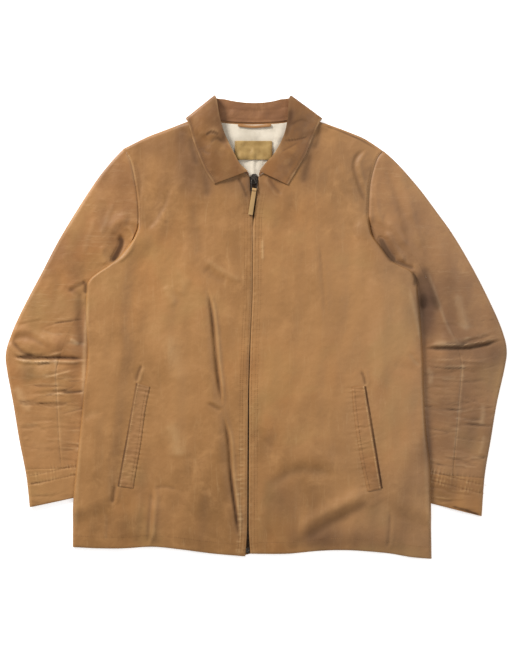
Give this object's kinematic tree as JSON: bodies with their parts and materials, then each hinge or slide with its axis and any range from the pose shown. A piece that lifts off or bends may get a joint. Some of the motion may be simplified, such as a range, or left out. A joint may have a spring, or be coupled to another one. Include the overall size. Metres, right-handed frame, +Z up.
{
  "type": "leather jacket",
  "caption": "Worn tan leather jacket with a shirt collar, full front zip, slanted welt pockets and stitched cuffs, laid flat on its back with the sleeves tucked under its sides.",
  "frame": {"origin": "under the middle of the whole jacket, on the surface that it lies on", "axes": "+Z up from that surface, +Y towards the collar, +X towards the wearer's left"},
  "size_m": [0.8512, 0.7886, 0.0177],
  "materials": {
    "leather": "worn tan grain leather, soft sheen, rubbed paler on folds and forearms",
    "leather_trim": "worn tan grain leather, rubbed at its edges",
    "leather_collar": "tan grain leather darkened by wear",
    "lining": "pale cream woven lining, matt",
    "label": "bare pale tan leather patch",
    "zip_tape": "dark brown woven tape",
    "zip_metal": "dulled dark nickel"
  },
  "bodies": {
    "garment": {"front_right": "leather", "front_left": "leather", "back": "leather", "sleeve_upper_right": "leather", "sleeve_under_right": "leather", "cuff_right": "leather_trim", "sleeve_upper_left": "leather", "sleeve_under_left": "leather", "cuff_left": "leather_trim", "collar_fall": "leather_collar", "collar_stand": "leather_collar", "pocket_welt_right": "leather_trim", "pocket_welt_left": "leather_trim", "lining_neck": "lining", "label_patch": "label", "hanger_loop": "leather_trim", "zip_tape_right": "zip_tape", "zip_tape_left": "zip_tape", "zip_teeth": "zip_metal", "zip_slider": "zip_metal", "zip_end_box": "zip_metal"},
    "pull": {"pull_bail": "zip_metal", "pull_tab": "leather_trim"}
  },
  "joints": [
    {"name": "pull_hinge", "type": "hinge", "parent": "garment", "child": "pull", "pos_m": [-0.00223, 0.25096, 0.01055], "axis": [-1, 0, 0], "range_deg": [0, 165]}
  ]
}
